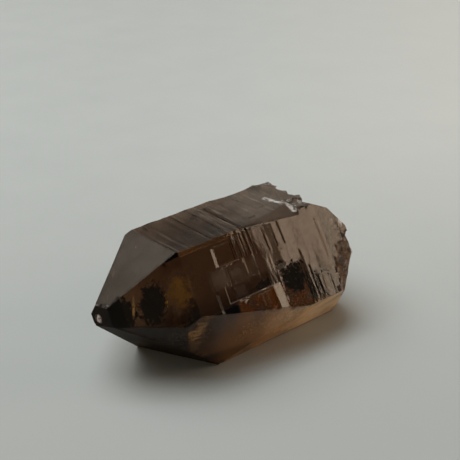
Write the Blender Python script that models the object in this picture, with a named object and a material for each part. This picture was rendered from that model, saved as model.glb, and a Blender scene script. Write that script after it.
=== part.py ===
"""A smoky quartz crystal with a point at each end, lying on one of its six prism faces.

It is one solid: a block cleaved plane by plane along the crystal's own faces, then chipped and grown over.
The long axis is X, the sharp point is at -X, and Z is up from the face that it rests on.
"""

import math
import random

import bmesh
import bpy
from mathutils import Matrix, Vector

MM = 0.001
CRYSTAL_NAME = "smoky_quartz_crystal"

# Everything below is in millimetres, in a frame where the crystal's axis runs along X and z = 0 is the table.
# This point of that frame ends up as the origin, at the bottom centre of the box around the crystal.
BOTTOM_CENTRE = Vector((-5.349, -3.841, 0.0))
BLOCK_SIZE = 120.0

# Prism faces go round the axis in steps of 60 degrees, and number 1 looks straight up.
PRISM_STEP = math.radians(60.0)
# Each rhomb face leans this far from the prism face that it ends.
RHOMB_TILT = math.radians(38.2)
# How far each face lies from the frame's origin.
PRISM_FACES = {1: 27.0, 2: 22.24, 4: 0.0, 5: 4.8, 6: 16.83}
FRONT_RHOMBS = {1: 35.28, 2: 31.36, 3: 20.46, 6: 28.04}
REAR_RHOMBS = {1: 30.0, 5: 17.5}
# Faces that growth, wear or a break has turned: the way out of the crystal, and the distance.
TURNED_FACES = {
    "prism 3, rear part": ((0.0, -0.800, -0.600), 10.08),
    "prism 3, front part": ((-0.190, -0.926, -0.330), 14.44),
    "front rhomb 4": ((-0.594, -0.277, -0.755), 12.15),
    "front rhomb 5": ((-0.618, 0.681, -0.393), 16.55),
    "rear rhomb 3": ((0.692, -0.688, -0.218), 21.7),
    "rear shoulder": ((0.720, -0.187, 0.668), 30.94),
    "broken rear point": ((0.980, -0.173, 0.100), 24.35),
    "blunted front point": ((-1.0, -0.150, 0.050), 36.3),
}

# Growth forms and small chips are laid out on faces, and on the edge between the first two. Each has an origin, a
# direction along it, one across it, and the way out. On the side face, "across" is the distance down from the edge.
FACE_FRAMES = {
    "top": (Vector((0, 0, 27)), Vector((1, 0, 0)), Vector((0, 1, 0)), Vector((0, 0, 1))),
    "side": (Vector((0, -10.09, 27)), Vector((1, 0, 0)), Vector((0, -0.5, -0.866)), Vector((0, -0.866, 0.5))),
    "edge": (Vector((0, -10.09, 27)), Vector((1, 0, 0)), Vector((0, -0.906, -0.423)), Vector((0, -0.423, 0.906))),
    "rear": (Vector((23.86, -4.21, 2.4)), Vector((-0.1, 0, 1)), Vector((0.174, 0.985, 0)), Vector((0.98, -0.173, 0.1))),
}
ROOT_DEPTH = 0.7
# A growth form stops this far short of the neighbouring faces.
EDGE_GAP = 0.03
# The cosine above which two directions are those of one face.
SAME_FACE = 0.999

# Growth plates and ledges: face, x from and to, across from and to, height at each end in x, and how much
# of its length the upper edge shifts in x from one side of the face to the other.
RAISED = (
    ("side", -17.3, -13.0, 5.8, 9.7, 0.14, 0.08, 0.0),
    ("side", -12.9, -8.7, 6.3, 10.3, 0.12, 0.06, 0.0),
    ("side", -15.3, -14.5, 1.8, 5.5, 0.16, 0.06, 0.0),
    ("side", -3.4, -1.3, 12.9, 19.2, 0.20, 0.12, 0.5),
    ("side", -2.9, -2.4, 7.4, 12.4, 0.14, 0.05, 0.2),
    ("side", -1.9, -1.4, 7.2, 12.0, 0.14, 0.05, 0.2),
    ("side", 5.3, 5.7, 11.8, 20.6, 0.12, 0.05, 0.3),
    ("side", 6.1, 6.5, 8.3, 20.6, 0.14, 0.05, 0.3),
    ("side", 7.2, 7.6, 12.0, 20.6, 0.12, 0.05, 0.2),
    ("side", 8.4, 8.9, 14.2, 20.6, 0.12, 0.05, 0.2),
    ("side", 9.6, 10.0, 15.0, 20.6, 0.12, 0.05, 0.2),
    ("side", 12.7, 13.1, 3.6, 12.0, 0.10, 0.05, 0.3),
    ("side", -17.5, -16.8, 10.4, 14.4, 0.12, 0.05, 0.0),
    ("top", -13.6, -12.0, -11.2, 4.6, 0.10, 0.04, 0.4),
    ("top", -9.4, -8.2, -11.2, 4.6, 0.08, 0.03, 0.5),
    ("top", -6.3, -5.4, -11.2, 1.6, 0.14, 0.04, 0.8),
    ("top", -2.2, 0.4, -7.8, 2.0, 0.05, 0.16, 1.0),
    ("top", 2.2, 4.6, -5.4, 1.8, 0.06, 0.16, -0.8),
)
SUNK = (
    ("side", -14.4, -10.1, 1.9, 5.4, 0.26, 0.18, 0.0),
    ("side", -14.6, -3.9, 9.6, 13.0, 0.22, 0.16, 0.2),
    ("side", -7.9, -3.8, 13.4, 17.0, 0.26, 0.20, 0.2),
    ("side", 9.9, 12.0, 15.8, 21.5, 0.10, 0.16, 0.2),
    ("top", -21.0, -19.2, -11.2, 4.6, 0.08, 0.03, 0.6),
    ("top", -16.8, -15.6, -11.2, 4.6, 0.08, 0.03, 0.6),
    ("edge", -6.5, 9.4, -4.0, 4.0, 0.02, 1.05, 0.0),
)

# A comb of narrow ledges runs down the side face from its upper edge, one beside the next.
COMB_STARTS = (-9.7, -8.45, -7.3, -6.2, -5.0)
COMB_WIDTH = 0.42
COMB_ACROSS = (0.7, 5.5)
COMB_HEIGHTS = (0.16, 0.05)
FINE_LEDGE_STARTS = (-1.4, 1.0, 2.9)
FINE_LEDGE_WIDTH = 0.35
FINE_LEDGE_ACROSS = (1.2, 6.2)

# The top face ends in a rim, and the rear drops behind it to a lower, slanting floor. The walls below the rim face
# the crystal's inside, since they bound what is taken away.
STEP_FLOOR = ((0.440, 0.147, 0.886), 27.79)
STEP_WALLS = (((-1.0, 0.0, 0.08), -12.7), ((-0.851, 0.525, 0.08), -12.95))

# Pieces broken out of the crystal, by centre, radii and whether the break is smooth and curved or rough.
CHIPS = (
    ((17.6, -19.3, 15.4), (4.4, 3.0, 4.6), "rough"),
    ((16.0, -20.6, 11.6), (3.2, 2.4, 3.4), "rough"),
    ((25.4, -11.8, 14.0), (4.0, 5.2, 5.2), "rough"),
    ((25.0, -5.0, 18.6), (3.6, 4.6, 4.4), "rough"),
    ((27.2, -4.0, 6.4), (3.8, 6.0, 5.0), "rough"),
    ((25.2, 3.6, 17.4), (4.0, 4.6, 4.2), "rough"),
    ((22.0, -16.6, 7.0), (3.4, 3.6, 4.4), "rough"),
    ((12.6, -10.9, 28.2), (3.0, 2.9, 2.2), "rough"),
    ((13.4, 5.0, 27.9), (4.4, 2.8, 1.9), "rough"),
    ((21.0, -21.4, 3.6), (9.0, 6.0, 5.4), "smooth"),
    ((4.0, 5.4, 27.9), (10.0, 2.6, 1.7), "smooth"),
    ((-23.6, -10.6, 27.3), (0.9, 0.8, 0.6), "rough"),
    ((-36.9, -5.4, 17.6), (1.6, 2.0, 2.1), "rough"),
    ((-37.0, -1.6, 11.4), (1.6, 2.1, 1.8), "rough"),
    ((-14.6, -14.2, -0.6), (2.6, 2.2, 1.5), "rough"),
)
# Small chips strewn over a region of a face: how many, and the spans along, across and out of the face, then the
# span of their radii in the face and out of it.
STREWN_CHIPS = (
    ("top", 12, (13.4, 15.2), (-5.0, 2.8), (-1.0, 0.3), (1.0, 2.0), (0.5, 0.9)),
    ("top", 6, (9.8, 12.4), (-9.8, -6.8), (0.1, 0.5), (1.1, 2.0), (0.5, 0.8)),
    ("side", 9, (14.8, 20.2), (10.4, 18.0), (0.2, 0.6), (1.2, 2.3), (0.7, 1.1)),
    ("rear", 6, (5.0, 17.0), (-8.0, 1.0), (0.3, 0.8), (2.0, 3.6), (0.9, 1.5)),
)
BREAK_PLANES = 26
BREAK_SCATTER = 0.35
SEED = 12
SMOOTH_DIVISIONS = 3

BASE_COLOUR = (0.11, 0.062, 0.032, 0.62)
SURFACE_ROUGHNESS = 0.08
QUARTZ_IOR = 1.544


def clear_scene():
    for old in list(bpy.data.objects):
        bpy.data.objects.remove(old)


def prism_normal(number):
    """The way out of a prism face."""
    turn = PRISM_STEP * (number - 1)
    return Vector((0.0, -math.sin(turn), math.cos(turn)))


def rhomb_normal(number, end):
    """The way out of the rhomb face that ends a prism face, at the front (-1) or the rear (+1)."""
    return prism_normal(number) * math.cos(RHOMB_TILT) + Vector((end * math.sin(RHOMB_TILT), 0.0, 0.0))


def crystal_faces():
    """Every plane that the block is cleaved along, as the way out and the distance."""
    faces = [(prism_normal(number), distance) for number, distance in PRISM_FACES.items()]
    faces += [(rhomb_normal(number, -1), distance) for number, distance in FRONT_RHOMBS.items()]
    faces += [(rhomb_normal(number, 1), distance) for number, distance in REAR_RHOMBS.items()]
    faces += [(Vector(normal).normalized(), distance) for normal, distance in TURNED_FACES.values()]
    return faces


def cleave(block, normal, distance):
    """Takes off all that lies beyond one plane, and closes the cut."""
    everything = block.verts[:] + block.edges[:] + block.faces[:]
    cut = bmesh.ops.bisect_plane(
        block, geom=everything, dist=1e-5, plane_co=normal * distance, plane_no=normal, clear_outer=True
    )
    rim = [item for item in cut["geom_cut"] if isinstance(item, bmesh.types.BMEdge)]
    if rim:
        bmesh.ops.edgeloop_fill(block, edges=rim)


def new_object(name, shape, collection):
    """Makes an object of a shape given in the crystal's frame in millimetres."""
    shape.normal_update()
    bmesh.ops.recalc_face_normals(shape, faces=shape.faces)
    bmesh.ops.transform(shape, matrix=Matrix.Translation(-BOTTOM_CENTRE), verts=shape.verts)
    bmesh.ops.scale(shape, vec=(MM, MM, MM), verts=shape.verts)
    mesh = bpy.data.meshes.new(name)
    shape.to_mesh(mesh)
    shape.free()
    made = bpy.data.objects.new(name, mesh)
    collection.objects.link(made)
    return made


def new_collection(name, helper):
    collection = bpy.data.collections.new(name)
    bpy.context.scene.collection.children.link(collection)
    collection.hide_render = helper
    return collection


def ledge(name, collection, face, x_span, across_span, heights, shift):
    """A low block on a face, higher at one end in x than the other. A sunk one has its heights below the face."""
    origin, along, across, out = FACE_FRAMES[face]
    shape = bmesh.new()
    bmesh.ops.create_cube(shape, size=2.0)
    sunk = heights[0] < 0
    for corner in shape.verts:
        side, end, level = corner.co
        x = x_span[0] if side < 0 else x_span[1]
        where = across_span[0] if end < 0 else across_span[1]
        x += shift * (0.5 if end > 0 else -0.5)
        height = heights[0] if side < 0 else heights[1]
        root = ROOT_DEPTH if sunk else -ROOT_DEPTH
        corner.co = origin + along * x + across * where + out * (height if level > 0 else root)
    if not sunk:
        for normal, distance in crystal_faces():
            if normal.dot(out) < SAME_FACE:
                cleave(shape, normal, distance - EDGE_GAP)
    return new_object(name, shape, collection)


def step(name, collection, wall):
    """What is taken from behind the rim of the top face, between one wall and the floor."""
    shape = bmesh.new()
    bmesh.ops.create_cube(shape, size=BLOCK_SIZE)
    cleave(shape, -Vector(STEP_FLOOR[0]), -STEP_FLOOR[1])
    cleave(shape, Vector(wall[0]), wall[1])
    return new_object(name, shape, collection)


def broken_piece(name, collection, centre, radii, dice):
    """A lump with flat facets at all angles, as quartz breaks: a small block cleaved at random round a ball."""
    shape = bmesh.new()
    bmesh.ops.create_cube(shape, size=4.0)
    for number in range(BREAK_PLANES):
        height = 1.0 - 2.0 * (number + 0.5) / BREAK_PLANES
        turn = number * math.pi * (3.0 - math.sqrt(5.0))
        ring = math.sqrt(1.0 - height * height)
        way = Vector((ring * math.cos(turn), ring * math.sin(turn), height))
        way += Vector([dice.uniform(-BREAK_SCATTER, BREAK_SCATTER) for _ in range(3)])
        cleave(shape, way.normalized(), dice.uniform(0.78, 1.0))
    for corner in shape.verts:
        corner.co = Vector(centre) + Vector([corner.co[k] * radii[k] for k in range(3)])
    return new_object(name, shape, collection)


def smooth_ball(name, collection, centre, radii):
    """What a smooth, curved break takes out."""
    shape = bmesh.new()
    bmesh.ops.create_icosphere(shape, subdivisions=SMOOTH_DIVISIONS, radius=1.0)
    for corner in shape.verts:
        corner.co = Vector(centre) + Vector([corner.co[k] * radii[k] for k in range(3)])
    return new_object(name, shape, collection)


def quartz_material():
    material = bpy.data.materials.new("smoky_quartz")
    material.use_nodes = True
    shader = material.node_tree.nodes["Principled BSDF"]
    shader.inputs["Base Color"].default_value = BASE_COLOUR[:3] + (1.0,)
    shader.inputs["Alpha"].default_value = BASE_COLOUR[3]
    shader.inputs["Metallic"].default_value = 0.0
    shader.inputs["Roughness"].default_value = SURFACE_ROUGHNESS
    shader.inputs["IOR"].default_value = QUARTZ_IOR
    shader.inputs["Transmission Weight"].default_value = 1.0
    return material


def boolean(target, collection, operation):
    modifier = target.modifiers.new(operation.lower() + "_" + collection.name, "BOOLEAN")
    modifier.operation = operation
    modifier.operand_type = "COLLECTION"
    modifier.collection = collection
    modifier.solver = "EXACT"
    modifier.use_self = True


def main():
    clear_scene()
    dice = random.Random(SEED)
    crystal_collection = new_collection(CRYSTAL_NAME, False)
    grown = new_collection("growth_forms", True)
    taken = new_collection("recesses_and_chips", True)

    block = bmesh.new()
    bmesh.ops.create_cube(block, size=BLOCK_SIZE)
    for normal, distance in crystal_faces():
        cleave(block, normal, distance)
    crystal = new_object(CRYSTAL_NAME, block, crystal_collection)
    crystal.data.materials.append(quartz_material())

    for index, (face, x0, x1, a0, a1, h0, h1, shift) in enumerate(RAISED):
        ledge(f"plate_{index}", grown, face, (x0, x1), (a0, a1), (h0, h1), shift)
    for index, start in enumerate(COMB_STARTS):
        ledge(f"comb_{index}", grown, "side", (start, start + COMB_WIDTH), COMB_ACROSS, COMB_HEIGHTS, 0.25)
    for index, start in enumerate(FINE_LEDGE_STARTS):
        span = (start, start + FINE_LEDGE_WIDTH)
        ledge(f"fine_{index}", grown, "side", span, FINE_LEDGE_ACROSS, COMB_HEIGHTS, 0.25)

    for index, (face, x0, x1, a0, a1, h0, h1, shift) in enumerate(SUNK):
        ledge(f"recess_{index}", taken, face, (x0, x1), (a0, a1), (-h0, -h1), shift)
    for index, wall in enumerate(STEP_WALLS):
        step(f"step_{index}", taken, wall)
    for index, (centre, radii, break_kind) in enumerate(CHIPS):
        if break_kind == "smooth":
            smooth_ball(f"chip_{index}", taken, centre, radii)
        else:
            broken_piece(f"chip_{index}", taken, centre, radii, dice)
    for index, (face, count, x_span, across_span, out_span, wide, deep) in enumerate(STREWN_CHIPS):
        origin, along, across, out = FACE_FRAMES[face]
        for number in range(count):
            centre = origin + along * dice.uniform(*x_span) + across * dice.uniform(*across_span)
            centre += out * dice.uniform(*out_span)
            radii = [dice.uniform(*wide) + abs(out[k]) * (dice.uniform(*deep) - wide[0]) for k in range(3)]
            broken_piece(f"small_chip_{index}_{number}", taken, centre, radii, dice)

    boolean(crystal, grown, "UNION")
    boolean(crystal, taken, "DIFFERENCE")
    for helper in list(grown.objects) + list(taken.objects):
        helper.display_type = "WIRE"
        helper.hide_render = True


main()
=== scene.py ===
import math
import random

import bmesh
import bpy
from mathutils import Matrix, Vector, noise


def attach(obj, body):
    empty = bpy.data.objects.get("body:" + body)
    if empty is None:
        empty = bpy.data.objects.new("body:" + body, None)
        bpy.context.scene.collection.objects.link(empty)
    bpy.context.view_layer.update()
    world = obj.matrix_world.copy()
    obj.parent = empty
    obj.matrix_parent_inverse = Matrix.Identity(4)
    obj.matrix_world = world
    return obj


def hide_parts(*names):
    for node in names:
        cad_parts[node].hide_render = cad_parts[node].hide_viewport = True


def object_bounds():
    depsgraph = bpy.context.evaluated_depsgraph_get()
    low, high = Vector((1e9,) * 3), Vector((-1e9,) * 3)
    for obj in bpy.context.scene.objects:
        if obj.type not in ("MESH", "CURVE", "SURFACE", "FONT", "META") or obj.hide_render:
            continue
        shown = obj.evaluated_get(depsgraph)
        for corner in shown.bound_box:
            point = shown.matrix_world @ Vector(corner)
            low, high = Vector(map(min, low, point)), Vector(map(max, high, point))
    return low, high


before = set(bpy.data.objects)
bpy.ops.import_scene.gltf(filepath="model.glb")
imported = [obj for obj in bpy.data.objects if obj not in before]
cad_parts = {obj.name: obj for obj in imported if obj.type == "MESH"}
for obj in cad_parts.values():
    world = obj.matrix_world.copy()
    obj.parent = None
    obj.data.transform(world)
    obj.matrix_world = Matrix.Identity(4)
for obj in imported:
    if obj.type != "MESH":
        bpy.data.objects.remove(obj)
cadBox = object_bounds()

mm = 0.001
# The crystal's own axis frame, in millimetres: its axis runs along X at y = z = 0 of this frame,
# and this is where the part's origin lies in it.
axisToOrigin = Vector((-5.349, -3.841, 0.0))


def place(x, y, z):  # a point of the crystal's axis frame, in metres in the part's frame
    return (Vector((x, y, z)) - axisToOrigin) * mm


# Camera, light and floor

view = {
    "azimuth": -42.1, "elevation": 25.56, "fieldOfView": 22.0, "distance": 0.24694,
    "target": (0.0, 0.0, 21.0), "sensor": 36.0, "nearest": 0.01,
}

viewAzimuth = math.radians(view["azimuth"])
toViewer = Vector((math.sin(viewAzimuth), -math.cos(viewAzimuth), 0.0))
toRight = Vector((math.cos(viewAzimuth), math.sin(viewAzimuth), 0.0))


def direction(azimuth, elevation):  # azimuth from straight ahead towards the right of the photo, in degrees
    a, e = math.radians(azimuth), math.radians(elevation)
    level = toRight * math.sin(a) - toViewer * math.cos(a)
    return level * math.cos(e) + Vector((0.0, 0.0, math.sin(e)))


def addCamera():
    camera = bpy.data.objects.new("camera", bpy.data.cameras.new("camera"))
    bpy.context.scene.collection.objects.link(camera)
    elevation = math.radians(view["elevation"])
    back = toViewer * math.cos(elevation) + Vector((0.0, 0.0, math.sin(elevation)))
    camera.location = place(*view["target"]) + back * view["distance"]
    camera.rotation_euler = back.to_track_quat("Z", "Y").to_euler()
    camera.data.sensor_width = view["sensor"]
    camera.data.lens = view["sensor"] / 2 / math.tan(math.radians(view["fieldOfView"]) / 2)
    camera.data.clip_start = view["nearest"]
    bpy.context.scene.camera = camera


softBoxes = {  # azimuth, elevation, distance, width, height, brightness, colour
    "keySoftBox": (-62.0, 50.0, 1.0, 0.95, 0.75, 0.62, (1.0, 0.82, 0.66)),
    "overheadSoftBox": (-76.0, 70.0, 1.0, 0.9, 0.9, 2.75, (0.94, 1.0, 1.02)),
    "sideSoftBox": (84.2, 21.0, 0.9, 0.38, 0.28, 2.75, (1.0, 0.76, 0.55)),
    "frontCard": (140.0, 5.0, 0.5, 0.5, 0.09, 4.6, (1.0, 0.82, 0.58)),
}


def addSoftBoxes():
    for name, (azimuth, elevation, distance, width, height, brightness, colour) in softBoxes.items():
        lamp = bpy.data.lights.new(name, "AREA")
        lamp.shape = "RECTANGLE"
        lamp.size, lamp.size_y = width, height
        lamp.energy = brightness * math.pi * width * height
        lamp.color = colour
        lit = bpy.data.objects.new(name, lamp)
        bpy.context.scene.collection.objects.link(lit)
        way = direction(azimuth, elevation)
        lit.location = way * distance
        lit.rotation_euler = way.to_track_quat("Z", "Y").to_euler()


# Shader helper: a socket that Python's operators work on

class Wire:
    def __init__(self, sheet, socket):
        self.sheet, self.socket = sheet, socket

    def sum(self, operation, other=0.0, turned=False):
        first, second = (other, self) if turned else (self, other)
        return self.sheet.node("ShaderNodeMath", {"operation": operation}, {0: first, 1: second})

    def __add__(self, other): return self.sum("ADD", other)
    def __radd__(self, other): return self.sum("ADD", other)
    def __sub__(self, other): return self.sum("SUBTRACT", other)
    def __rsub__(self, other): return self.sum("SUBTRACT", other, True)
    def __mul__(self, other): return self.sum("MULTIPLY", other)
    def __rmul__(self, other): return self.sum("MULTIPLY", other)
    def __truediv__(self, other): return self.sum("DIVIDE", other)
    def __rtruediv__(self, other): return self.sum("DIVIDE", other, True)
    def __abs__(self): return self.sum("ABSOLUTE")
    def most(self, other): return self.sum("MAXIMUM", other)

    def step(self, low, high):  # 0 below low, 1 above high, smooth between
        return self.sheet.node("ShaderNodeMapRange", {"interpolation_type": "SMOOTHSTEP"},
                               {"Value": self, "From Min": low, "From Max": high})


class Sheet:
    def __init__(self, tree):
        self.tree = tree

    def node(self, kind, settings=None, sockets=None, out=0):
        made = self.tree.nodes.new(kind)
        for name, value in (settings or {}).items():
            if name == "stops":
                ramp = made.color_ramp
                while len(ramp.elements) < len(value):
                    ramp.elements.new(0.5)
                for element, (where, colour) in zip(ramp.elements, value):
                    element.position, element.color = where, (*colour[:3], 1.0)
            else:
                setattr(made, name, value)
        for name, value in (sockets or {}).items():
            if isinstance(value, Wire):
                self.tree.links.new(value.socket, made.inputs[name])
            else:
                made.inputs[name].default_value = value
        return Wire(self, made.outputs[out]) if made.outputs else None

    def grain(self, where, scale, detail=3.0, roughness=0.5, stretch=None, distortion=0.0):  # noise, 0 to 1
        if stretch:
            where = self.node("ShaderNodeVectorMath", {"operation": "MULTIPLY"}, {0: where, 1: stretch})
        return self.node("ShaderNodeTexNoise", None, {
            "Vector": where, "Scale": scale, "Detail": detail,
            "Roughness": roughness, "Distortion": distortion})

    def along(self, where, way, start=(0.0, 0.0, 0.0)):  # how far past start a place lies
        offset = self.node("ShaderNodeVectorMath", {"operation": "SUBTRACT"}, {0: where, 1: start})
        return self.node("ShaderNodeVectorMath", {"operation": "DOT_PRODUCT"}, {0: offset, 1: way}, "Value")

    def far(self, where, middle):  # how far from middle a place lies
        return self.node("ShaderNodeVectorMath", {"operation": "DISTANCE"}, {0: where, 1: middle}, "Value")

    def mix(self, amount, first, second):  # colours
        return self.node("ShaderNodeMix", {"data_type": "RGBA"}, {"Factor": amount, 6: first, 7: second}, 2)

    def attribute(self, name):
        return self.node("ShaderNodeAttribute", {"attribute_name": name}, None, "Fac")


def newMaterial(name):
    material = bpy.data.materials.new(name)
    material.use_nodes = True
    material.node_tree.nodes.clear()
    return material, Sheet(material.node_tree)


studio = {
    "behindViewer": (0.03, 0.028, 0.026), "beside": (0.045, 0.04, 0.036), "ahead": (0.20, 0.165, 0.135),
    "besideAt": 0.45, "aheadAt": 0.85,
    "dome": (0.37, 0.345, 0.29), "domeHeight": (0.55, 0.80), "domeLeft": (-0.35, 0.25),
}


def addWorld():
    world = bpy.data.worlds.new("studio")
    bpy.context.scene.world = world
    world.use_nodes = True
    world.node_tree.nodes.clear()
    sheet = Sheet(world.node_tree)
    ray = sheet.node("ShaderNodeTexCoord", None, None, "Generated")
    ahead = sheet.along(ray, -toViewer)
    left = sheet.along(ray, -toRight)
    up = sheet.along(ray, (0.0, 0.0, 1.0))
    low = sheet.node("ShaderNodeValToRGB", {"stops": [
        (0.0, studio["behindViewer"]), (studio["besideAt"], studio["beside"]),
        (studio["aheadAt"], studio["ahead"]), (1.0, studio["ahead"])]}, {"Fac": ahead * 0.5 + 0.5})
    dome = up.step(*studio["domeHeight"]) * left.step(*studio["domeLeft"])
    shade = sheet.mix(dome, low, (*studio["dome"], 1.0))
    glow = sheet.node("ShaderNodeBackground", None, {"Color": shade, "Strength": 1.0})
    sheet.node("ShaderNodeOutputWorld", None, {"Surface": glow})


plaster = {
    "size": 6.0, "drop": 0.00006, "grain": 60.0, "grainDetail": 4.0, "roughness": 0.9,
    "dim": (0.55, 0.585, 0.585, 1.0), "pale": (0.61, 0.645, 0.64, 1.0),
    # painted light and shade: a brighter tone towards the right and a darker one near the camera
    "paintedLightTone": (0.86, 0.85, 0.82, 1.0), "paintedLightShare": 0.55, "paintedLightFrom": (-0.05, 0.12),
    "near": (0.47, 0.495, 0.49, 1.0), "paintedShadeFrom": (-0.14, 0.10),
}


def addFloor():
    bpy.ops.mesh.primitive_plane_add(size=plaster["size"], location=(0.0, 0.0, -plaster["drop"]))
    floor = bpy.context.object
    floor.name = "floor"
    material, sheet = newMaterial("palePlaster")
    where = sheet.node("ShaderNodeTexCoord", None, None, "Object")
    tone = sheet.grain(where, plaster["grain"], plaster["grainDetail"])
    # painted shade near the camera and painted light towards the right, over the plaster's own grain
    near = sheet.along(where, toViewer).step(*plaster["paintedShadeFrom"])
    right = sheet.along(where, toRight).step(*plaster["paintedLightFrom"])
    colour = sheet.mix(tone, plaster["dim"], plaster["pale"])
    colour = sheet.mix(right * (1.0 - near) * plaster["paintedLightShare"], colour, plaster["paintedLightTone"])
    colour = sheet.mix(near, colour, plaster["near"])
    paint = sheet.node("ShaderNodeBsdfPrincipled", None, {
        "Base Color": colour, "Roughness": plaster["roughness"]})
    sheet.node("ShaderNodeOutputMaterial", None, {"Surface": paint})
    floor.data.materials.append(material)


addCamera()
addSoftBoxes()
addWorld()
addFloor()
print("camera, lights and floor are up")


# The crystal's finish: clear smoky quartz under a thin, uneven film of dust and frosting, which also
# carries painted shade, painted glow and painted highlights

quartz = {
    "ior": 1.544, "clear": (1.0, 0.985, 0.96, 1.0),
    "smoke": (0.485, 0.315, 0.145), "smokeDensity": 185.0,
    "polish": 0.03, "dustPolish": 0.12, "dustFrom": (0.45, 0.85), "brokenPolish": 0.22,
    # depths in metres, and the share of fine and broad growth lines
    "fineLines": 0.000004, "fineShare": 0.6, "broadShare": 1.6,
    "wavyLines": 0.000012, "wavyFrom": (-9.0, 3.0),
    "pits": 0.0000025, "brokenBump": 0.00022, "etching": 0.000014, "etchingFrom": (-5.0, 0.0),
    "filmRoughness": 0.75, "filmGloss": 0.1, "filmSoft": 0.15,
}
colours = {
    "bloom": (0.44, 0.36, 0.29, 1.0), "rust": (0.46, 0.20, 0.06, 1.0), "tan": (0.80, 0.58, 0.38, 1.0),
    "paintedGoldGlow": (0.66, 0.36, 0.12, 1.0), "paintedAmberGlow": (0.19, 0.088, 0.013, 1.0),
    "paintedRedBrownGlow": (0.42, 0.13, 0.025, 1.0), "mottle": (0.20, 0.15, 0.105, 1.0),
    "blackSpeckAndShade": (0.004, 0.003, 0.002, 1.0), "paintedShadeColour": (0.012, 0.006, 0.002, 1.0),
    "paintedGoldenGlow": (0.09, 0.044, 0.012, 1.0), "paintedEdgeHighlight": (0.62, 0.50, 0.40, 1.0),
    "whiteCrack": (0.80, 0.76, 0.72, 1.0), "paintedGlint": (0.90, 0.42, 0.16, 1.0),
    "paintedTipGlint": (0.72, 0.58, 0.56, 1.0),
}
grains = {  # scale, detail, roughness, stretch along the three axes, distortion
    "lines": (1.0, 4.0, 0.6, (2600.0, 90.0, 90.0)),
    "broadLines": (1.0, 2.0, 0.5, (700.0, 60.0, 60.0)),
    "wavyLines": (1.0, 3.0, 0.55, (520.0, 110.0, 110.0), 1.6),
    "etch": (1.0, 4.0, 0.6, (1500.0, 700.0, 700.0), 0.8),
    "streaks": (1.0, 4.0, 0.6, (170.0, 420.0, 900.0), 1.2),
    "pits": (900.0, 3.0),
    "dust": (210.0, 5.0, 0.7),
    "patches": (95.0, 4.0, 0.6),
    "shell": (380.0, 6.0, 0.62, None, 0.4),
    "specks": (1100.0, 5.0, 0.68),
}
film = {  # lengths in millimetres, pairs are where a step starts and ends
    "cover": 0.30, "coverPatches": 0.9, "coverDust": 0.9, "patchesFrom": (0.25, 0.75),
    "paintedGoldenGlowFrom": (0.50, 0.72), "paintedGoldenGlowAlong": (-29.0, -23.0),
    "scratchesFrom": (0.03, 0.19), "scratches": 0.22, "rearScratches": 0.3,
    "rearScratchesFrom": (-13.0, -6.0),
    "glow": 0.20, "paintedGlowStreaks": (0.42, 0.85), "paintedGlowPatches": (0.35, 0.75),
    "paintedEdgeAlong": (-24.0, -6.0), "paintedEdgeDown": (-1.0, 0.95), "edge": 0.02, "paintedEdgePatches": 0.2,
    "paintedRedAlong": (-13.0, 5.2), "paintedRedDown": (13.2, 19.5), "paintedRedArea": 0.07, "paintedRedPatches": 0.16,
    "paintedRedFrom": (0.35, 0.7),
    "mottleAlong": (-3.0, 1.0), "mottleSpecks": 0.34, "mottleSpecksFrom": (0.42, 0.74),
    "mottlePatches": 0.14, "mottlePatchesFrom": (0.5, 0.75),
    "paintedGlints": 0.8, "paintedGlintsFrom": (0.60, 0.70), "paintedGlintsAlong": (-9.0, -4.0),
    "speckMiddle": 0.42, "speckFall": 0.55, "speckFrom": 0.04,
    "tipPlace": (-35.8, -2.0, 14.2), "tipReach": (0.1, 1.3), "tipSpecks": (0.40, 0.62), "tip": 0.42,
}

sideAcross = Vector((0.0, -0.5, -0.866))  # down the side face, from its upper edge
sideCorner = Vector((0.0, -10.09, 27.0))

# Painted highlights along the growth lines on the side face: x from and to, distance down the face from and
# to, strength
paintedHighlightPlaces = (
    (-15.2, -14.7, 1.9, 5.5, 0.26), (-15.0, -10.6, 1.5, 1.68, 0.10), (-14.4, -9.6, 5.45, 5.58, 0.20),
    (-9.6, -9.25, 0.9, 5.7, 0.34), (-8.3, -8.0, 1.0, 8.8, 0.26), (-7.1, -6.75, 0.9, 5.4, 0.34),
    (-6.0, -5.65, 0.9, 5.4, 0.34), (-4.9, -4.5, 0.9, 5.2, 0.32),
    (-13.1, -12.95, 6.0, 9.9, 0.16), (-12.0, -9.4, 9.75, 9.88, 0.10), (-17.6, -15.0, 9.45, 9.57, 0.10),
    (-14.9, -14.7, 9.5, 13.1, 0.26), (-14.8, -3.7, 12.9, 13.05, 0.26),
    (-3.15, -2.95, 5.6, 12.6, 0.26), (-2.1, -1.85, 5.0, 12.7, 0.30), (-3.3, -1.5, 12.9, 18.6, 0.30),
    (-6.6, -6.4, 13.6, 16.2, 0.18), (-5.3, -5.15, 13.6, 16.2, 0.16), (-7.9, -3.9, 13.55, 13.7, 0.20),
    (5.5, 5.62, 11.8, 19.2, 0.40), (6.2, 6.32, 8.3, 19.2, 0.42), (6.9, 7.0, 10.5, 19.2, 0.36),
    (7.8, 7.9, 13.0, 19.4, 0.30), (8.9, 9.05, 15.0, 19.4, 0.26), (12.9, 13.0, 3.0, 12.0, 0.14),
    (13.9, 14.0, 2.0, 14.0, 0.12),
)
paintedHighlightLook = {"soft": 0.12, "plain": 0.35, "patches": 0.9, "patchesFrom": (0.3, 0.65)}

sideWays = (Vector((1.0, 0.0, 0.0)), sideAcross)
tipWays = (Vector((0.746, -0.666, 0.0)), Vector((-0.252, -0.297, -0.921)))
speckEdge = {"blackSpeckAndShade": 0.24, "paintedAmberGlow": 0.60, "paintedGoldGlow": 0.60}  # the lower, the crisper
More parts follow.
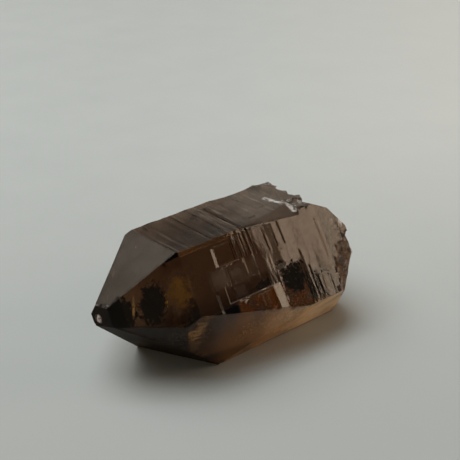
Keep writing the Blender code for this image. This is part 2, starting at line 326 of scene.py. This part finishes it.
# Clouds drawn as specks on two faces: black specks of an inclusion on the side face, and painted shade and
# painted amber and golden glow on the front point's face. The face, middle, ways along and across, half
# lengths, colour, strength, raggedness
speckAndShadeClouds = (
    ("side", (2.6, -16.59, 15.74), sideWays, (4.6, 3.7), "blackSpeckAndShade", 0.95, 1.9),
    ("side", (-5.4, -16.14, 16.52), sideWays, (3.0, 1.2), "blackSpeckAndShade", 0.85, 1.9),
    ("side", (0.2, -15.09, 18.34), sideWays, (2.0, 1.6), "blackSpeckAndShade", 0.7, 1.9),
    # painted shade: dark clouds on the front point's face
    ("tip", (-28.4, -9.5, 17.8), tipWays, (3.7, 5.6), "blackSpeckAndShade", 0.94, 1.2),
    ("tip", (-33.2, -5.8, 15.6), tipWays, (4.2, 5.4), "blackSpeckAndShade", 0.95, 1.2),
    ("tip", (-20.6, -14.8, 15.6), tipWays, (3.4, 4.2), "blackSpeckAndShade", 0.60, 1.6),
    # painted glow: amber and golden clouds on the front point's face
    ("tip", (-24.0, -12.4, 20.2), tipWays, (3.6, 5.4), "paintedAmberGlow", 0.52, 1.3),
    ("tip", (-31.0, -7.0, 17.6), tipWays, (0.5, 3.6), "paintedGoldGlow", 0.09, 1.4),
)

crack = {  # the whitish crack on the rear of the top face, from place to place
    "path": ((7.4, -2.6), (7.8, -4.6), (8.0, -5.9), (8.5, -7.1), (9.0, -8.4), (8.9, -9.8)),
    "halfWidth": (0.15, 1.0), "endSoft": 0.5, "height": (24.0, 25.2), "specks": (0.38, 0.52),
    "strength": 0.8,
    "wanderPatches": 1.8, "wanderDust": 1.2,
}

# Marks kept on the mesh: what kind of surface a place is, and how much film lies there
surfaceMarks = ("broken", "lined", "haze", "rust", "stain", "side", "top", "lower", "tip")


class Surface:  # what every layer of the crystal's finish reads
    def __init__(self, sheet):
        self.sheet = sheet
        self.where = sheet.node("ShaderNodeTexCoord", None, None, "Object")
        self.alongCrystal = sheet.along(self.where, (1.0, 0.0, 0.0), place(0.0, 0.0, 0.0))
        self.downSide = sheet.along(self.where, sideAcross, place(*sideCorner))
        self.up = sheet.along(self.where, (0.0, 0.0, 1.0))
        self.mark = {name: sheet.attribute(name) for name in surfaceMarks}
        self.grain = {name: sheet.grain(self.where, *settings) for name, settings in grains.items()}

    def past(self, low, high):  # 0 before low and 1 past high along the crystal, in millimetres
        return self.alongCrystal.step(low * mm, high * mm)


def span(wire, low, high, soft):  # 1 between low and high, in millimetres, 0 outside, smooth between
    middle, half = (low + high) / 2 * mm, (high - low) / 2 * mm
    return 1.0 - abs(wire - middle).step(half - soft * mm / 2, half + soft * mm / 2)


def crystalBump(surface):
    grain, mark = surface.grain, surface.mark
    lines = grain["lines"] * quartz["fineShare"] + grain["broadLines"] * quartz["broadShare"]
    height = lines * mark["lined"] * quartz["fineLines"] + grain["pits"] * quartz["pits"]
    wavy = mark["top"] * surface.past(*quartz["wavyFrom"])
    height = height + grain["wavyLines"] * wavy * quartz["wavyLines"]
    height = height + grain["shell"] * mark["broken"] * quartz["brokenBump"]
    etched = mark["side"] * surface.past(*quartz["etchingFrom"])
    height = height + grain["etch"] * etched * quartz["etching"]
    return surface.sheet.node("ShaderNodeBump", None, {
        "Strength": 1.0, "Distance": 1.0, "Height": height}, "Normal")


# painted highlights: pale lines along the side face's growth steps
def paintedHighlightLines(surface):
    lines = None
    for x0, x1, low, high, strength in paintedHighlightPlaces:
        line = span(surface.alongCrystal, x0, x1, paintedHighlightLook["soft"])
        line = line * span(surface.downSide, low, high, paintedHighlightLook["soft"]) * strength
        lines = line if lines is None else lines.most(line)
    patches = surface.grain["patches"].step(*paintedHighlightLook["patchesFrom"])
    uneven = paintedHighlightLook["plain"] + patches * paintedHighlightLook["patches"]
    return lines * surface.mark["side"] * uneven


def whitishCrack(surface, wobble):
    sheet, where, found = surface.sheet, surface.where, None
    nearest, farthest = crack["halfWidth"]
    for (x0, y0), (x1, y1) in zip(crack["path"], crack["path"][1:]):
        way = Vector((x1 - x0, y1 - y0, 0.0))
        half = way.length * mm / 2
        way.normalize()
        beside = sheet.along(where, (-way.y, way.x, 0.0), place(x0, y0, 0.0))
        onward = sheet.along(where, way, place(x0, y0, 0.0))
        near = 1.0 - abs(beside + wobble).step(nearest * mm, farthest * mm)
        near = near * (1.0 - abs(onward - half).step(half, half + crack["endSoft"] * mm))
        found = near if found is None else found.most(near)
    low, high = crack["height"]
    return found * surface.up.step(low * mm, high * mm) * surface.grain["specks"].step(*crack["specks"])


def speckClouds(surface):
    sheet, where, layers = surface.sheet, surface.where, []
    for face, middle, (wayAlong, wayAcross), halves, colour, strength, ragged in speckAndShadeClouds:
        halfAlong, halfAcross = halves
        u = sheet.along(where, wayAlong, place(*middle)) / (halfAlong * mm)
        v = sheet.along(where, wayAcross, place(*middle)) / (halfAcross * mm)
        thick = (surface.grain["specks"] - 0.5) * ragged + film["speckMiddle"]
        thick = thick - (u * u + v * v) * film["speckFall"]
        amount = thick.step(film["speckFrom"], speckEdge[colour]) * surface.mark[face] * strength
        layers.append((amount, colours[colour]))
    return layers


def filmLayers(surface):  # each layer's strength and colour, from the lowest to the topmost
    sheet, grain, mark = surface.sheet, surface.grain, surface.mark
    patches, specks = grain["patches"], grain["specks"]
    # painted shade: a dark film darkens the faces under the front point and some breaks, with painted
    # golden glow in patches towards the point
    paintedGoldenGlowMask = patches.step(*film["paintedGoldenGlowFrom"]) * surface.past(*film["paintedGoldenGlowAlong"])
    paintedShadeAndGlowTone = sheet.mix(paintedGoldenGlowMask, colours["paintedShadeColour"], colours["paintedGoldenGlow"])
    more = film["scratches"] + surface.past(*film["rearScratchesFrom"]) * film["rearScratches"]
    scratches = (grain["lines"] - 0.5).step(*film["scratchesFrom"]) * mark["lined"] * mark["top"] * more
    # painted glow: golden streaks on the lower faces stand in for light seen through the stone
    glow = grain["streaks"].step(*film["paintedGlowStreaks"]) * patches.step(*film["paintedGlowPatches"])
    glow = mark["lower"] * (glow * film["glow"])
    # painted light: a rust film lightens the dark band just under the side face's upper edge
    paintedEdgeLight = mark["side"] * span(surface.alongCrystal, *film["paintedEdgeAlong"], 0.6)
    paintedEdgeLight = paintedEdgeLight * span(surface.downSide, *film["paintedEdgeDown"], 0.1)
    paintedEdgeLight = paintedEdgeLight * (film["edge"] + patches * film["paintedEdgePatches"])
    # painted glow: a red-brown film stands in for the red-brown light seen through the side face below the
    # black cloud
    paintedRedArea = mark["side"] * span(surface.alongCrystal, *film["paintedRedAlong"], 0.8)
    paintedRedArea = paintedRedArea * span(surface.downSide, *film["paintedRedDown"], 0.8)
    paintedRedGlow = paintedRedArea * (film["paintedRedArea"] + patches.step(*film["paintedRedFrom"]) * film["paintedRedPatches"])
    mottle = specks.step(*film["mottleSpecksFrom"]) * film["mottleSpecks"]
    mottle = mottle + patches.step(*film["mottlePatchesFrom"]) * film["mottlePatches"]
    mottle = mark["side"] * surface.past(*film["mottleAlong"]) * mottle
    # painted glints: bright orange specks in the red-brown area
    paintedGlints = paintedRedArea * specks.step(*film["paintedGlintsFrom"])
    paintedGlints = paintedGlints * span(surface.alongCrystal, *film["paintedGlintsAlong"], 1.0) * film["paintedGlints"]
    wobble = (patches - 0.5) * (crack["wanderPatches"] * mm)
    wobble = wobble + (grain["dust"] - 0.5) * (crack["wanderDust"] * mm)
    # painted highlight: a pinkish glint spot on the blunt front point
    nearTip, farTip = film["tipReach"]
    paintedTipGlintSpot = (sheet.far(surface.where, place(*film["tipPlace"])) + wobble).step(nearTip * mm, farTip * mm)
    paintedTipGlintSpot = (1.0 - paintedTipGlintSpot) * specks.step(*film["tipSpecks"]) * film["tip"]
    layers = [
        (mark["stain"], paintedShadeAndGlowTone), (scratches, colours["bloom"]), (glow, colours["paintedGoldGlow"]),
        (paintedEdgeLight, colours["rust"]), (paintedRedGlow, colours["paintedRedBrownGlow"]), (mottle, colours["mottle"]),
        (paintedGlints, colours["paintedGlint"]),
    ]
    layers += speckClouds(surface)
    layers.append((paintedHighlightLines(surface), colours["paintedEdgeHighlight"]))
    layers.append((whitishCrack(surface, wobble) * crack["strength"], colours["whiteCrack"]))
    layers.append((paintedTipGlintSpot, colours["paintedTipGlint"]))
    return layers


def quartzFinish():
    material, sheet = newMaterial("smokyQuartz")
    surface = Surface(sheet)
    grain, mark = surface.grain, surface.mark
    bump = crystalBump(surface)

    polish = quartz["polish"] + grain["dust"].step(*quartz["dustFrom"]) * quartz["dustPolish"]
    polish = polish + mark["broken"] * (quartz["brokenPolish"] - quartz["polish"])
    glass = sheet.node("ShaderNodeBsdfPrincipled", None, {
        "Base Color": quartz["clear"], "Roughness": polish, "IOR": quartz["ior"],
        "Transmission Weight": 1.0, "Normal": bump})

    uneven = film["cover"] + grain["patches"].step(*film["patchesFrom"]) * film["coverPatches"]
    cover = mark["haze"] * (uneven + (grain["dust"] - 0.5) * film["coverDust"])
    tone = sheet.node("ShaderNodeValToRGB", {"stops": [
        (0.0, colours["bloom"]), (0.5, colours["rust"]), (1.0, colours["tan"])]}, {"Fac": mark["rust"]})
    for amount, colour in filmLayers(surface):
        tone = sheet.mix(amount.step(0.0, quartz["filmSoft"]), tone, colour)
        cover = cover.most(amount)
    # the film shader: dust, with painted shade, painted glow and painted highlights
    bloom = sheet.node("ShaderNodeBsdfPrincipled", None, {
        "Base Color": tone, "Roughness": quartz["filmRoughness"],
        "Specular IOR Level": quartz["filmGloss"], "Normal": bump})

    both = sheet.node("ShaderNodeMixShader", None, {"Fac": cover, 1: glass, 2: bloom})
    smoke = sheet.node("ShaderNodeVolumeAbsorption", None,
                       {"Color": (*quartz["smoke"], 1.0), "Density": quartz["smokeDensity"]})
    sheet.node("ShaderNodeOutputMaterial", None, {"Surface": both, "Volume": smoke})
    return material


# The crystal: the solid's faces, cut fine along the growth lines and given their relief

crystal = {
    "node": "smoky_quartz_crystal",
    "merge": 0.000002, "flat": 0.4, "cutSnap": 0.000004, "sharp": 1.2,  # metres and degrees
    "lineFrom": -23.0, "lineTo": 22.0, "lineGap": (0.45, 1.5), "riser": 0.07,
    "stripStarts": (-9.6, -8.3, -7.1, -6.0, -4.9), "stripWidth": 0.45,
    "acrossGap": 1.1, "endCuts": (-36, 26), "levelCuts": (1, 26), "acrossCuts": (-18, 12),
    "darkTilt": 0.04, "plainTilt": 0.007, "topTilt": 1.2, "backTilt": 0.004, "backWaves": 0.20,
    "waviness": 0.03, "brokenDepth": 0.13, "brokenScale": 3.0, "mostShift": 0.6,
    "seed": 5,
}
rimHeight = 21.0  # breaks above this are the rim of the top face
frontBreak = -34.0  # where the blunt face of the front point begins

faceWays = {
    "top": Vector((0.0, 0.0, 1.0)),
    "side": Vector((0.0, -0.866, 0.5)),
    "bevel": Vector((0.065, -0.422, 0.904)),
    "lowerSide": Vector((0.0, -0.8, -0.6)),
    "base": Vector((0.0, 0.0, -1.0)),
    "backLower": Vector((0.0, 0.866, -0.5)),
    "backUpper": Vector((0.0, 0.866, 0.5)),
    "tipTop": Vector((-0.618, 0.0, 0.786)),
    "tipSide": Vector((-0.618, -0.681, 0.393)),
    "tipLower": Vector((-0.618, -0.681, -0.393)),
    "tipBackUpper": Vector((-0.618, 0.681, 0.393)),
    "tipBackLower": Vector((-0.618, 0.681, -0.393)),
    "tipUnder": Vector((-0.594, -0.277, -0.755)),
    "lowerFront": Vector((-0.190, -0.926, -0.330)),
    "rearTop": Vector((0.618, 0.0, 0.786)),
    "rearShoulder": Vector((0.720, -0.187, 0.668)),
    "stepFloor": Vector((0.440, 0.147, 0.886)),
    "rearSide": Vector((0.692, -0.688, -0.218)),
    "rearBack": Vector((0.618, 0.681, -0.393)),
    "rearBreak": Vector((0.980, -0.173, 0.100)),
}
linedFaces = ("top", "side", "lowerSide", "backLower", "backUpper", "lowerFront")
ledgeWays = (Vector((1.0, 0.0, 0.0)), sideAcross, Vector((0.0, 1.0, 0.0)))
sameWay = 0.9985  # cosine between a face and the crystal face that it belongs to
ledgeWay = 0.985


def faceName(way, x, z):  # the crystal face that looks this way, a ledge's own wall, or nothing on a break
    name = max(faceWays, key=lambda key: faceWays[key].normalized().dot(way))
    if faceWays[name].normalized().dot(way) > sameWay:
        return name
    ledge = x > frontBreak and any(abs(way.dot(wall)) > ledgeWay for wall in ledgeWays)
    # every rough break lies at one of the two ends
    return "ledge" if ledge or frontBreak < x < 9.0 and z > 1.0 else None


def smooth(value, low, high):
    t = min(1.0, max(0.0, (value - low) / (high - low)))
    return t * t * (3 - 2 * t)


def between(value, low, high, soft=0.3):
    return smooth(value, low - soft, low + soft) * (1 - smooth(value, high - soft, high + soft))


def downTheSide(y, z):
    return -0.5 * (y + 10.09) + 0.866 * (27.0 - z)


dullAreas = {  # where the side face stays dark: from and to along the crystal and down the face, softness
    "cloud": ((-1.2, 5.6, 0.6), (10.0, 20.5, 0.7)),
    "plates": ((-13.6, -8.3, 0.1), (6.0, 13.4, 0.2)),
    "stripes": (5.9, 6.9, 7.8, 8.7, 9.6), "stripeWidth": 0.35, "stripeTop": 8.0, "stripeFall": 2.2,
}


def dull(x, across):  # 1 where growth turns the side face away from the light
    wobble = 0.5 * noise.noise(Vector((x * 0.3, across * 0.4, 3.0)))
    cloudAlong, cloudDown = dullAreas["cloud"]
    plateAlong, plateDown = dullAreas["plates"]
    dark = between(x, *cloudAlong) * between(across + wobble, *cloudDown)
    dark = max(dark, between(x, *plateAlong) * between(across, *plateDown))
    first = dullAreas["stripes"][0]
    for start in dullAreas["stripes"]:
        top = dullAreas["stripeTop"] + (start - first) * dullAreas["stripeFall"]
        stripe = between(x, start, start + dullAreas["stripeWidth"], 0.05) * between(across, top, 20.5, 0.4)
        dark = max(dark, stripe)
    return dark


# On each face how much film lies there, its tone from dust (0) by rust (0.5) to tan (1), and its painted
# shade
films = {
    "tipTop": (0.13, 0.0, 0.0),
    # painted shade: the faces under the front point are painted nearly black
    "tipUnder": (0.0, 0.5, 0.97),
    "tipLower": (0.0, 0.5, 0.60),
    # painted glow: the tan film on the rear side face
    "rearSide": (0.66, 0.95, 0.0),
    "bevel": (0.16, 0.0, 0.0),
    "rearTop": (0.24, 0.0, 0.0),
    "rearShoulder": (0.24, 0.0, 0.0),
    "stepFloor": (0.24, 0.0, 0.0),
    "rearBreak": (0.34, 0.42, 0.0),
}
breakFilms = {  # the same on the broken places and on one ledge that is painted dark as painted shade
    # painted shade: the blunt front point and one side ledge are painted dark
    "front": (0.0, 0.5, 0.93),
    "rim": (0.26, 0.0, 0.0),
    "rear": (0.26, 0.36, 0.0),
    "paintedShadeLedge": (0.0, 0.5, 0.85),
}
sideFilm = {  # strength, then where it lies along the crystal and down the face
    "rear": (0.14, -3.5, 1.0),
    # painted sheen: a pale film makes the plates at the front of the side face lighter
    "largePlate": (0.10, (-17.4, -13.1, 0.15), (5.8, 9.6, 0.2)),
    "smallPlates": (0.04, (-12.9, -3.2, 0.15), (6.0, 9.7, 0.2)),
    "rough": (0.26, (12.5, 16.5), (8.5, 12.0)), "roughTone": 0.4,
}


def sideMarks(x, across):
    strength, low, high = sideFilm["rear"]
    amount = strength * smooth(x, low, high) * (1 - dull(x, across))
    for name in ("largePlate", "smallPlates"):
        strength, along, down = sideFilm[name]
        amount = max(amount, strength * between(x, *along) * between(across, *down))
    strength, along, down = sideFilm["rough"]
    rough = smooth(x, *along) * smooth(across, *down)
    return max(amount, strength * rough), rough * sideFilm["roughTone"], 0.0


def marks(name, x, y, z):  # how much film a place carries, its tone, and its painted shade, as in films
    across = downTheSide(y, z)
    if name == "top":
        return 0.05 + 0.17 * smooth(x, -13.0, 2.0), 0.0, 0.0
    if name == "side":
        return sideMarks(x, across)
    # painted glow: the film on the lower faces turns golden and paler towards the rear; on the lower front
    # face it is painted shade towards the front point
    if name == "lowerSide":
        return 0.36 + 0.28 * smooth(x, -12.0, 12.0), 0.5 + 0.4 * smooth(x, -8.0, 12.0), 0.0
    if name == "lowerFront":
        amount = 0.06 + 0.34 * smooth(x, -19.0, -4.0)
        return amount, 0.5 + 0.35 * smooth(x, -12.0, 4.0), 0.55 * smooth(-x, 15.0, 22.0)
    if name == "ledge" and -18.2 < x < -16.2 and across > 8.8:
        return breakFilms["paintedShadeLedge"]
    if name is None and x < frontBreak:
        return breakFilms["front"]
    if name is None and x > 5.0:
        return breakFilms["rim" if z > rimHeight else "rear"]
    return films.get(name, (0.0, 0.0, 0.0))


def growthLines(dice):  # where a growth step ends and the next begins
    found, x = [], crystal["lineFrom"]
    while x < crystal["lineTo"]:
        found.append(x)
        x += dice.uniform(*crystal["lineGap"])
    return found


def relief(name, x, y, z, starts, tilts):  # how far the surface stands out of its face, in millimetres
    if name in ("base", "ledge"):
        return 0.0
    wave = crystal["waviness"] * noise.noise(Vector((x * 0.16, y * 0.22, z * 0.22)))
    if name is None:
        deep = noise.fractal(Vector((x, y, z)) * (crystal["brokenScale"] / 4), 1.0, 2.1, 4)
        return wave + crystal["brokenDepth"] * deep * (0.5 if z > rimHeight else 1.0)
    if name not in linedFaces:
        return wave
    index = max((k for k, start in enumerate(starts) if start <= x), default=None)
    if index is None or index + 1 >= len(starts):
        return wave
    middle = (starts[index] + starts[index + 1]) / 2
    tilt = tilts[index] * crystal["plainTilt"]
    if name == "side":
        tilt += crystal["darkTilt"] * dull(x, downTheSide(y, z))
    elif name == "top":
        tilt *= crystal["topTilt"]
    elif name in ("backLower", "backUpper"):
        broad = Vector((x * 0.22, y * 0.16, z * 0.22 + 4.0))
        wave += crystal["backWaves"] * noise.fractal(broad, 1.0, 2.0, 2)
        tilt = crystal["backTilt"] * tilts[index]
    return wave + tilt * (x - middle)


def cutAt(form, normal, distance):  # cuts every face by a plane, placed in the axis frame in millimetres
    everything = form.verts[:] + form.edges[:] + form.faces[:]
    bmesh.ops.bisect_plane(form, geom=everything, dist=crystal["cutSnap"],
                           plane_co=place(*(normal * distance)), plane_no=normal)


def cutAlongGrowth(form, starts):
    alongAxis, upwards, sideways = Vector((1.0, 0.0, 0.0)), Vector((0.0, 0.0, 1.0)), Vector((0.0, 1.0, 0.0))
    half = crystal["riser"] / 2
    cuts = [start + offset for start in starts for offset in (-half, half)]
    for start in crystal["stripStarts"]:
        cuts += [start, start + crystal["stripWidth"]]
    for distance in sorted(cuts):
        cutAt(form, alongAxis, distance)
    for k in range(*crystal["endCuts"]):
        if not crystal["lineFrom"] < k < crystal["lineTo"]:
            cutAt(form, alongAxis, k + 0.5)
    for k in range(*crystal["levelCuts"]):
        cutAt(form, upwards, k * crystal["acrossGap"])
    for k in range(*crystal["acrossCuts"]):
        cutAt(form, sideways, k * crystal["acrossGap"] + 0.3)


def shiftOf(point, ways, starts, tilts):  # the shift that gives every face at a corner its own height
    shift = Vector((0.0, 0.0, 0.0))
    for _ in range(12):  # settles after a few rounds
        for way, name in ways:
            shift += way * (relief(name, *point, starts, tilts) - shift.dot(way)) * 0.7
    if shift.length > crystal["mostShift"]:
        shift *= crystal["mostShift"] / shift.length
    return shift


def markCorner(corner, layers, kinds, point):
    found = [marks(name, *point) for name in kinds]
    values = {
        "broken": None in kinds,
        "lined": kinds & set(linedFaces),
        "side": "side" in kinds,
        "top": "top" in kinds,
        "tip": "tipSide" in kinds,
        "lower": kinds & {"lowerSide", "lowerFront"},
    }
    for mark, value in values.items():
        corner[layers[mark]] = float(bool(value))
    corner[layers["haze"]] = min(dust for dust, _, _ in found)
    corner[layers["rust"]] = max(rust for _, rust, _ in found)
    # the painted shade that darkens a place
    corner[layers["stain"]] = max(dark for _, _, dark in found)


def makeCrystal():
    dice = random.Random(crystal["seed"])
    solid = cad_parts[crystal["node"]]
    form = bmesh.new()
    form.from_mesh(solid.data)
    bmesh.ops.remove_doubles(form, verts=form.verts, dist=crystal["merge"])
    flat = math.radians(crystal["flat"])
    bmesh.ops.dissolve_limit(form, angle_limit=flat, verts=form.verts, edges=form.edges)
    starts = growthLines(dice)
    tilts = [dice.uniform(-1.0, 1.0) for _ in starts]
    cutAlongGrowth(form, starts)
    print("crystal cut into", len(form.faces), "faces")

    form.normal_update()
    form.faces.index_update()
    names = {}
    for face in form.faces:
        middle = face.calc_center_median() / mm + axisToOrigin
        names[face.index] = faceName(face.normal, middle.x, middle.z)
    layers = {mark: form.verts.layers.float.new(mark) for mark in surfaceMarks}
    moves = {}
    for corner in form.verts:
        point = corner.co / mm + axisToOrigin
        ways = []
        for face in corner.link_faces:
            if not any(face.normal.dot(way) > 0.995 for way, _ in ways):
                ways.append((face.normal.copy(), names[face.index]))
        kinds = {name for _, name in ways} - {"ledge"} or {"ledge"}
        moves[corner] = shiftOf(point, ways, starts, tilts)
        markCorner(corner, layers, kinds, point)
    for corner, shift in moves.items():
        corner.co += shift * mm
        corner.co = [min(max(value, low), high) for value, low, high in zip(corner.co, *cadBox)]
    bmesh.ops.triangulate(form, faces=form.faces)

    mesh = bpy.data.meshes.new("smokyQuartz")
    form.to_mesh(mesh)
    form.free()
    mesh.polygons.foreach_set("use_smooth", [True] * len(mesh.polygons))
    mesh.set_sharp_from_angle(angle=math.radians(crystal["sharp"]))
    piece = bpy.data.objects.new("smokyQuartz", mesh)
    bpy.context.scene.collection.objects.link(piece)
    mesh.materials.append(quartzFinish())
    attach(piece, "root")
    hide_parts(crystal["node"])
    print("crystal has", len(mesh.polygons), "triangles")


makeCrystal()


# What grew inside: clouds and veils of tiny flakes, scattered over curved sheets under the faces

downFace = (0.0, -0.5, -0.866)
tipAlong, tipAcross = (0.73, -0.68, 0.0), (0.25, 0.27, 0.93)
veils = {
    # centre, way along, way across, half lengths, bend,
    # flakes a square mm, flake size from and to, depth spread, finish
    "blackCloud": ((2.3, -15.6, 15.8), (1.0, 0.0, 0.0), downFace, (4.2, 3.6), 0.5,
                   26.0, (0.07, 0.26), 0.9, "blackFlakes"),
    "blackWisp": ((-3.6, -15.4, 16.4), (1.0, 0.0, 0.0), downFace, (2.2, 1.4), 0.3,
                  14.0, (0.06, 0.20), 0.7, "blackFlakes"),
    "lowerVeil": ((0.0, -15.0, 7.9), (1.0, 0.0, 0.0), (0.0, -0.6, 0.8), (16.0, 5.6), 0.9,
                  24.0, (0.06, 0.22), 0.9, "goldenFlakes"),
    "frontVeil": ((-21.5, -10.0, 18.6), tipAlong, tipAcross, (4.2, 6.4), 1.2,
                  26.0, (0.06, 0.20), 1.3, "goldenFlakes"),
    "tipVeil": ((-28.6, -5.6, 16.8), tipAlong, tipAcross, (0.8, 3.6), 0.6,
                30.0, (0.06, 0.20), 0.5, "goldenFlakes"),
    "underVeil": ((-21.6, -10.6, 10.0), (0.98, -0.2, 0.0), (0.06, 0.32, -0.94), (5.4, 3.0), 0.8,
                  30.0, (0.06, 0.22), 0.9, "goldenFlakes"),
    "rearVeil": ((17.6, -12.0, 14.6), (0.5, 0.4, 0.75), (0.1, -0.9, 0.4), (4.0, 5.0), 0.8,
                 18.0, (0.06, 0.22), 0.8, "goldenFlakes"),
}
sheetLook = {"cells": 24, "waves": 1.6, "fullTo": 0.45}
flakeFinishes = {  # colour between two shades, roughness
    "blackFlakes": ((0.004, 0.003, 0.002, 1.0), (0.02, 0.012, 0.006, 1.0), 0.6),
    "goldenFlakes": ((0.70, 0.42, 0.16, 1.0), (0.86, 0.66, 0.38, 1.0), 0.45),
}
flakeLook = {
    "cloud": (420.0, 3.0, 0.6), "cloudFrom": (0.42, 0.68),  # scale, detail and roughness
    "segments": 4, "rings": 2, "shape": (1.0, 0.7, 0.22), "fullTurn": (6.28, 6.28, 6.28),
    "placeSeed": 3, "turnSeed": 5, "sizeSeed": 7, "toneScale": 500.0, "toneDetail": 2.0,
}


def flakeFinish(name):
    low, high, roughness = flakeFinishes[name]
    material, sheet = newMaterial(name)
    where = sheet.node("ShaderNodeTexCoord", None, None, "Object")
    tone = sheet.mix(sheet.grain(where, flakeLook["toneScale"], flakeLook["toneDetail"]), low, high)
    paint = sheet.node("ShaderNodeBsdfPrincipled", None, {"Base Color": tone, "Roughness": roughness})
    sheet.node("ShaderNodeOutputMaterial", None, {"Surface": paint})
    return material


def flakeTree(material):  # scatters flattened little crystals over a sheet, thick where a noise is high
    tree = bpy.data.node_groups.new("flakes", "GeometryNodeTree")
    for name, kind in (("Sheet", "Geometry"), ("Density", "Float"), ("Smallest", "Float"),
                       ("Largest", "Float"), ("Spread", "Float"), ("Seed", "Int")):
        tree.interface.new_socket(name, in_out="INPUT", socket_type="NodeSocket" + kind)
    tree.interface.new_socket("Flakes", in_out="OUTPUT", socket_type="NodeSocketGeometry")
    sheet = Sheet(tree)
    given = tree.nodes.new("NodeGroupInput")
    read = {socket.name: Wire(sheet, socket) for socket in given.outputs if socket.name}
    where = sheet.node("GeometryNodeInputPosition")
    cloud = sheet.grain(where, *flakeLook["cloud"])
    middle = sheet.node("GeometryNodeInputNamedAttribute", {"data_type": "FLOAT"}, {"Name": "middle"})
    points = sheet.node("GeometryNodeDistributePointsOnFaces", None, {
        "Mesh": read["Sheet"], "Density": cloud.step(*flakeLook["cloudFrom"]) * middle * read["Density"],
        "Seed": read["Seed"]})
    away = sheet.node("FunctionNodeRandomValue", {"data_type": "FLOAT_VECTOR"}, {
        0: (-1.0, -1.0, -1.0), 1: (1.0, 1.0, 1.0), "Seed": flakeLook["placeSeed"]})
    away = sheet.node("ShaderNodeVectorMath", {"operation": "SCALE"}, {0: away, "Scale": read["Spread"]})
    points = sheet.node("GeometryNodeSetPosition", None, {"Geometry": points, "Offset": away})
    flake = sheet.node("GeometryNodeMeshUVSphere", None, {
        "Segments": flakeLook["segments"], "Rings": flakeLook["rings"], "Radius": 1.0})
    flake = sheet.node("GeometryNodeTransform", None, {"Geometry": flake, "Scale": flakeLook["shape"]})
    turn = sheet.node("FunctionNodeRandomValue", {"data_type": "FLOAT_VECTOR"}, {
        0: (0.0, 0.0, 0.0), 1: flakeLook["fullTurn"], "Seed": flakeLook["turnSeed"]})
    size = sheet.node("FunctionNodeRandomValue", {"data_type": "FLOAT"}, {
        2: read["Smallest"], 3: read["Largest"], "Seed": flakeLook["sizeSeed"]}, 1)
    made = sheet.node("GeometryNodeInstanceOnPoints", None, {
        "Points": points, "Instance": flake, "Rotation": turn, "Scale": size})
    made = sheet.node("GeometryNodeRealizeInstances", None, {"Geometry": made})
    made = sheet.node("GeometryNodeSetMaterial", None, {"Geometry": made, "Material": material})
    end = tree.nodes.new("NodeGroupOutput")
    tree.links.new(made.socket, end.inputs[0])
    return tree


def veilSheet(name, number):  # a curved sheet, with a float that is 1 in its middle and 0 at its rim
    centre, along, across, (longHalf, shortHalf), bend = veils[name][:5]
    along, across = Vector(along).normalized(), Vector(across).normalized()
    out = along.cross(across).normalized()
    cells, waves = sheetLook["cells"], sheetLook["waves"]
    form = bmesh.new()
    bmesh.ops.create_grid(form, x_segments=cells, y_segments=cells, size=1.0)
    middle = form.verts.layers.float.new("middle")
    for corner in form.verts:
        u, v = corner.co.x, corner.co.y
        lift = bend * noise.noise(Vector((u * waves, v * waves, number * 7.0)))
        corner[middle] = 1.0 - smooth(math.hypot(u, v), sheetLook["fullTo"], 1.0)
        corner.co = place(*(Vector(centre) + along * u * longHalf + across * v * shortHalf + out * lift))
    mesh = bpy.data.meshes.new(name)
    form.to_mesh(mesh)
    form.free()
    return mesh


def makeVeils():
    materials = {name: flakeFinish(name) for name in flakeFinishes}
    trees = {name: flakeTree(material) for name, material in materials.items()}
    for number, name in enumerate(veils):
        density, (smallest, largest), spread, finish = veils[name][5:]
        piece = bpy.data.objects.new(name, veilSheet(name, number))
        bpy.context.scene.collection.objects.link(piece)
        scatter = piece.modifiers.new("flakes", "NODES")
        scatter.node_group = trees[finish]
        items = trees[finish].interface.items_tree
        sockets = {item.name: item.identifier for item in items if item.in_out == "INPUT"}
        inputs = {
            "Density": density / mm ** 2, "Smallest": smallest * mm / 2, "Largest": largest * mm / 2,
            "Spread": spread * mm, "Seed": number + 1,
        }
        for socket, value in inputs.items():
            scatter[sockets[socket]] = value
        graph = bpy.context.evaluated_depsgraph_get()
        flakes = bpy.data.meshes.new_from_object(piece.evaluated_get(graph))
        piece.modifiers.remove(scatter)
        piece.data = flakes
        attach(piece, "root")
        print(name, "has", len(flakes.polygons), "faces")


makeVeils()

# Light passes many faces inside a clear stone
cycles = bpy.context.scene.cycles
cycles.max_bounces = 24
cycles.transmission_bounces = 20
cycles.glossy_bounces = 8
cycles.transparent_max_bounces = 16
bpy.context.scene.view_settings.view_transform = "Standard"
